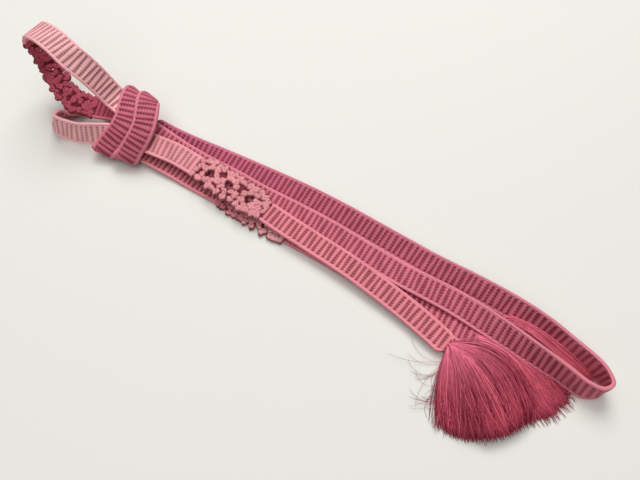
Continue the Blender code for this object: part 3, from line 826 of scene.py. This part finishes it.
def even(rows, count):
    """Points spaced evenly along the course through the rows of points."""
    curve = catmull(rows, THREAD_SAMPLES)
    course = Course(curve, curve)
    return course.read(curve, np.linspace(0.0, course.length, count))


def tucked_lines(random, count):
    """Threads of the far tassel that run under the band and along the long fold's inside."""
    rows = even(np.array(TUCKED_THREADS), THREAD_STEPS)
    spread = np.sin(np.linspace(0.15, 1.0, THREAD_STEPS) * math.pi * 0.75)[None, :, None]
    offsets = np.zeros((count, 1, 3))
    offsets[:, 0, 1] = random.uniform(-2.8, 2.2, count)
    offsets[:, 0, 2] = random.uniform(-1.4, 1.4, count)
    slide = random.uniform(-4.0, 2.0, (count, 1, 1)) * np.array((1.0, 0.0, 0.0))
    wave = random.normal(0.0, 0.35, (count, 1, 3)) * np.sin(
        np.linspace(0.0, 2 * math.pi, THREAD_STEPS))[None, :, None]
    return (rows[None] + (offsets + wave) * spread + slide) * MM + SHIFT


def stray_lines(random, tassel):
    """Loose hairs that curl away from one side of a tassel and lie on the table."""
    lines = []
    for _ in range(tassel.strays):
        swing = random.uniform(0.9, 1.3)
        angle = (tassel.first + tassel.last) / 2 + (tassel.first - tassel.last) / 2 * swing
        radius = random.uniform(6.0, 28.0)
        heading = math.radians(angle - random.uniform(-25.0, 75.0))
        bend = random.choice((-1, 1)) * random.uniform(0.02, 0.14)
        length = random.uniform(7.0, 19.0) + 0.45 * (28.0 - radius)
        place = np.array((tassel.x + radius * math.cos(math.radians(angle)),
                          tassel.y + radius * math.sin(math.radians(angle)),
                          random.uniform(0.3, 1.6)))
        rows = [place]
        step = length / (THREAD_STEPS - 1)
        for _ in range(THREAD_STEPS - 1):
            heading += bend * step
            rows.append(rows[-1] + step * np.array((math.cos(heading), math.sin(heading), 0.0)))
        lines.append(rows)
    return np.array(lines).reshape(-1, THREAD_STEPS, 3) * MM + SHIFT


def tassel_mesh(tassel):
    """Fan of fine threads from the tassel's head, bulging at the head, with some strays."""
    settings = bpy.context.scene.obi_cord
    random = np.random.default_rng(round(tassel.x))
    count = settings.thread_count // detail(1)
    t = np.linspace(0.0, 1.0, THREAD_STEPS)[None]
    middle = (tassel.first + tassel.last) / 2
    spread = (tassel.last - tassel.first) / 2
    swing = random.uniform(-0.92, 1.0, (count, 1)) + random.normal(0.0, 0.03, (count, 1))
    swing = np.where(random.uniform(0.0, 1.0, (count, 1)) < STRAYING, swing * 1.24, swing)
    angle = middle + spread * swing
    turned = np.clip((angle - tassel.last) / (tassel.first - tassel.last), 0.0, 1.0)
    reach = tassel.long + (tassel.short - tassel.long) * turned ** 2
    longer = random.uniform(0.0, 1.0, (count, 1)) < LONGER
    reach = reach * (random.normal(0.98, 0.02, (count, 1)) + longer * random.uniform(0, 0.09))
    clump = scattered(np.floor((swing + 1.2) * CLUMPS))
    layer = np.clip(0.7 * random.uniform(0.0, 1.0, (count, 1)) + 0.3 * clump, 0.0, 1.0)
    bulge = 1.0 + np.where(swing < 0, tassel.left, tassel.right) * (1.0 - t)
    loose = random.uniform(0.0, 1.0, (count, 1)) < LOOSE
    sideways = random.normal(0.0, WANDER, (count, 1)) * t
    bowed = random.normal(0.0, WANDER, (count, 1)) * np.sin(t * math.pi)
    wander = (sideways + bowed) * np.where(loose, LOOSE_WANDER, 1.0)
    layer = np.where(loose, 0.75 + 0.25 * layer, layer)
    turn = np.radians(middle + (angle - middle) * bulge + wander)
    radius = (-HEAD_DEPTH + (reach + HEAD_DEPTH) * t) * MM
    over = smooth_step((angle - LIFT_FROM) / LIFT_OVER) * tassel.lift
    stack = (0.30 + 0.70 * np.sin(np.pi * np.clip(0.12 + t * 0.95, 0.0, 1.0))) * tassel.height
    rise = np.sin(np.minimum(1.0, 2.6 * t) * math.pi / 2)
    height = (LOWEST + over * rise + layer * stack * (1.12 - 0.4 * t)) * MM
    root = np.array((tassel.x, tassel.y, 0.0)) * MM + SHIFT
    lines = np.stack((root[0] + radius * np.cos(turn), root[1] + radius * np.sin(turn),
                      height + SHIFT[2]), axis=-1)
    thickness = settings.thread_width / 2 * random.uniform(0.7, 1.25, count)
    # Threads darker toward the fan's first side: on the near tassel its deeper-dyed left side, on
    # the far tassel painted shadow of the near one lying over it
    deep = tassel.deep * (0.45 + 0.55 * turned[:, 0])
    shade = (0.55 * random.uniform(0.0, 1.0, count) + 0.55 * clump[:, 0]) ** deep
    # Painted highlight: the loose threads, which lie on top, are lighter
    shade = np.where(loose[:, 0], 0.28 + 0.66 * shade, shade)
    hairs = stray_lines(random, tassel)
    tucked = tucked_lines(random, tassel.tucked)
    lines = np.concatenate((lines, hairs, tucked))
    thickness = np.concatenate((thickness, np.full(tassel.strays, HAIR_RADIUS),
                                np.full(tassel.tucked, TUCKED_RADIUS)))
    # Hairs are dark; the threads tucked under the band are lighter, painted light where the band
    # shades them
    shade = np.concatenate((shade, random.uniform(0.0, 0.2, tassel.strays),
                            random.uniform(0.5, 1.0, tassel.tucked)))
    taper = np.interp(t, (0.0, 0.12, 0.85, 1.0), (0.75, 1.0, 0.85, 0.35))
    return tube_mesh(tassel.name, lines, thickness[:, None] * taper, shade)


class Graph:
    """Node tree of one material, with arithmetic between sockets."""

    def __init__(self, material):
        material.use_nodes = True
        self.tree = material.node_tree
        self.shader = self.tree.nodes["Principled BSDF"]

    def node(self, kind, inputs=(), **settings):
        """A node of a kind, its settings made and its inputs linked or set."""
        node = self.tree.nodes.new(kind)
        for key, value in settings.items():
            setattr(node, key, value)
        for key, value in dict(inputs).items():
            if isinstance(value, Value):
                self.tree.links.new(value.socket, node.inputs[key])
            else:
                node.inputs[key].default_value = value
        return node

    def value(self, node, output=0):
        return Value(self, node.outputs[output])

    def math(self, operation, first, second):
        return self.value(self.node("ShaderNodeMath", {0: first, 1: second}, operation=operation))

    def mix(self, factor, first, second):
        """Colour between two colours."""
        node = self.node("ShaderNodeMix", {0: factor, 6: first, 7: second}, data_type="RGBA")
        return self.value(node, 2)

    def link(self, value, socket):
        self.tree.links.new(value.socket, self.shader.inputs[socket])


class Value:
    """An output socket that Math nodes add, subtract and multiply."""

    def __init__(self, graph, socket):
        self.graph = graph
        self.socket = socket

    def __add__(self, other):
        return self.graph.math("ADD", self, other)

    def __radd__(self, other):
        return self.graph.math("ADD", other, self)

    def __sub__(self, other):
        return self.graph.math("SUBTRACT", self, other)

    def __rmul__(self, other):
        return self.graph.math("MULTIPLY", other, self)


def silk(name, first, last, groove_shade, finish=BAND_SILK):
    """Silk from one colour to another along a piece, with painted shade in its grooves."""
    material = bpy.data.materials.new(name)
    graph = Graph(material)
    weave = graph.value(graph.node("ShaderNodeAttribute", attribute_name="weave"), "Color")
    parts = graph.node("ShaderNodeSeparateColor", {"Color": weave})
    unshaded = graph.value(parts, 0)
    along = graph.value(parts, 1)
    edge = graph.value(parts, 2)
    place = graph.value(graph.node("ShaderNodeTexCoord"), "Object")
    cloud, fibre = (
        graph.value(graph.node("ShaderNodeTexNoise", {"Vector": place, "Scale": scale,
                                                      "Detail": 2.0}))
        for scale in (CLOUD_SCALE, FIBRE_SCALE))
    body = graph.mix(along, (*first, 1.0), (*last, 1.0))
    # Painted highlight: the edge cords take a lighter dye and tone; the tassels' threads carry the
    # edge mark all along and take it too
    body = graph.mix(EDGE_HIGHLIGHT_SHARE * edge, body, EDGE_HIGHLIGHT_DYE)
    # Painted shade: toward the groove dye where the first channel of the mark is low
    colour = graph.mix(unshaded, (*groove_shade, 1.0), body)
    tone = PLAIN_TONE + CLOUD_TONE * cloud + FIBRE_TONE * (fibre - 0.5) + EDGE_HIGHLIGHT_TONE * edge
    shade = graph.node("ShaderNodeVectorMath", {0: colour, "Scale": tone}, operation="SCALE")
    graph.link(graph.value(shade), "Base Color")
    if finish.bump:
        bump = graph.node("ShaderNodeBump", {"Height": fibre, "Strength": finish.bump,
                                             "Distance": 0.15 * MM})
        graph.link(graph.value(bump), "Normal")
    graph.shader.inputs["Roughness"].default_value = finish.roughness
    graph.shader.inputs["Metallic"].default_value = 0.0
    graph.shader.inputs["Specular IOR Level"].default_value = finish.specular
    graph.shader.inputs["Sheen Weight"].default_value = finish.sheen
    graph.shader.inputs["Sheen Roughness"].default_value = 0.4
    graph.shader.inputs["Sheen Tint"].default_value = SHEEN_TINT
    return material


def dyed(stretch):
    """Material of one stretch, from its dye to the dye it fades to."""
    dyes = bpy.context.scene.obi_dyes
    first = getattr(dyes, stretch.dye)
    last = getattr(dyes, stretch.fade)
    share = GROOVE_SHARES.get(stretch.name, USUAL_GROOVE_SHARE)
    groove_shade = tuple((1.0 - share) * thread + share * rib for thread, rib in zip(dyes.groove_shade, first))
    return silk(stretch.name, tuple(first), tuple(last), groove_shade)


def make_stretches(stations, stretches):
    """Ribbed or lace pieces along one route, each in place of its solid, which is hidden."""
    course = route(stations)
    start = 0.0
    for stretch in stretches:
        end = course.length * stretch.end
        span = (course, start + PARTING, end - PARTING)
        if stretch.name in LACES:
            mesh = lace_mesh(stretch.name, *span, LACES[stretch.name])
        else:
            tucks = (stretch.before, stretch.after)
            mesh = band_mesh(stretch.name, *span, stretch.width, tucks)
        piece = add_piece("silk_" + stretch.name, mesh, dyed(stretch))
        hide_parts(stretch.name)
        end - start - SEAM
        start = end


class OBI_OT_band(bpy.types.Operator):
    """Lay the ribbed band and its lace along their routes"""

    bl_idname = "obi.band"
    bl_label = "Band and lace"

    def execute(self, context):
        for stations, stretches in ROUTES:
            make_stretches(stations, stretches)
        return {"FINISHED"}


class OBI_OT_wraps(bpy.types.Operator):
    """Wind the two turns of the band round the bundle"""

    bl_idname = "obi.wraps"
    bl_label = "Wraps"

    def execute(self, context):
        right = [(turn.x_right, turn.y, turn.z) for turn in WRAP_TURN]
        left = [(turn.x_left, turn.y - turn.nearer_left, turn.z) for turn in WRAP_TURN]
        rows = (("wrap_right", right, WRAP_RIGHT_LEAN, 0.0),
                ("wrap_left", left, WRAP_LEFT_LEAN, WRAP_LEFT_INSET))
        for name, turns, lean, inset in rows:
            course = wrap_course(turns, lean, inset)
            mesh = band_mesh(name, course, 0.0, course.length, WRAP_WIDTH, closed=True)
            stretch = Stretch(name, 1.0, WRAP_WIDTH, "wrap", "wrap", 0.0, 0.0)
            piece = add_piece("silk_" + name, mesh, dyed(stretch))
            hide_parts(name)
        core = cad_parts["knot_core"]
        dyes = context.scene.obi_dyes
        inner = silk("hidden_layers", tuple(dyes.deep), tuple(dyes.deep), tuple(dyes.groove_shade))
        core.data.materials.clear()
        core.data.materials.append(inner)
        return {"FINISHED"}


class OBI_OT_tassels(bpy.types.Operator):
    """Fan out the threads of both tassels"""

    bl_idname = "obi.tassels"
    bl_label = "Tassels"

    def execute(self, context):
        dye = context.scene.obi_dyes.tassel
        head, tip, shade = (tuple(share * part for share, part in zip(tint, dye))
                            for tint in (HEAD_TINT, TIP_TINT, SHADE_TINT))
        for tassel in TASSELS:
            material = silk(tassel.name, head, tip, shade, THREAD_SILK)
            piece = add_piece("silk_" + tassel.name, tassel_mesh(tassel), material)
            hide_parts(tassel.name)
        return {"FINISHED"}


class OBI_OT_stage(bpy.types.Operator):
    """Set the floor, the studio lights and the camera"""

    bl_idname = "obi.stage"
    bl_label = "Stage"

    def execute(self, context):
        sheet = bmesh.new()
        bmesh.ops.create_grid(sheet, x_segments=1, y_segments=1, size=FLOOR_SIZE)
        mesh = bpy.data.meshes.new("floor")
        sheet.to_mesh(mesh)
        sheet.free()
        floor = bpy.data.objects.new("floor", mesh)
        context.scene.collection.objects.link(floor)
        paper = bpy.data.materials.new("paper")
        paper.use_nodes = True
        shader = paper.node_tree.nodes["Principled BSDF"]
        shader.inputs["Base Color"].default_value = PAPER
        shader.inputs["Roughness"].default_value = PAPER_ROUGHNESS
        mesh.materials.append(paper)
        for name, place, size, power in LIGHTS:
            lamp = bpy.data.lights.new(name, "AREA")
            lamp.shape = "DISK"
            lamp.size = size
            lamp.energy = power
            item = bpy.data.objects.new(name, lamp)
            item.location = place
            item.rotation_euler = (-Vector(place)).to_track_quat("-Z", "Y").to_euler()
            context.scene.collection.objects.link(item)
        lens = bpy.data.cameras.new("camera")
        lens.sensor_width = SENSOR
        lens.lens = FOCAL_LENGTH
        lens.clip_start = 0.01
        camera = bpy.data.objects.new("camera", lens)
        right = Vector(CAMERA_RIGHT)
        forward = Vector(CAMERA_FORWARD)
        up = right.cross(forward)
        turn = Matrix((right, up, -forward)).transposed()
        camera.matrix_world = Matrix.Translation(
            Vector(CAMERA_PLACE) * MM + Vector(SHIFT)) @ turn.to_4x4()
        context.scene.collection.objects.link(camera)
        context.scene.camera = camera
        context.scene.view_settings.view_transform = "Standard"
        return {"FINISHED"}


class OBI_PT_panel(bpy.types.Panel):
    """Sizes, colours and pieces of the cord"""

    bl_idname = "OBI_PT_panel"
    bl_label = "Obi cord"
    bl_space_type = "VIEW_3D"
    bl_region_type = "UI"
    bl_category = "Obi cord"

    def draw(self, context):
        for group in (context.scene.obi_cord, context.scene.obi_dyes):
            for name in group.__annotations__:
                self.layout.prop(group, name)
        for operator in OPERATORS:
            self.layout.operator(operator.bl_idname)


OPERATORS = (OBI_OT_band, OBI_OT_wraps, OBI_OT_tassels, OBI_OT_stage)
CLASSES = (Settings, Dyes, *OPERATORS, OBI_PT_panel)


def register():
    for item in CLASSES:
        bpy.utils.register_class(item)
    bpy.types.Scene.obi_cord = bpy.props.PointerProperty(type=Settings)
    bpy.types.Scene.obi_dyes = bpy.props.PointerProperty(type=Dyes)


def unregister():
    del bpy.types.Scene.obi_dyes
    del bpy.types.Scene.obi_cord
    for item in reversed(CLASSES):
        bpy.utils.unregister_class(item)


def main():
    register()
    bpy.ops.obi.band()
    bpy.ops.obi.wraps()
    bpy.ops.obi.tassels()
    bpy.ops.obi.stage()


if __name__ == "__main__":
    main()
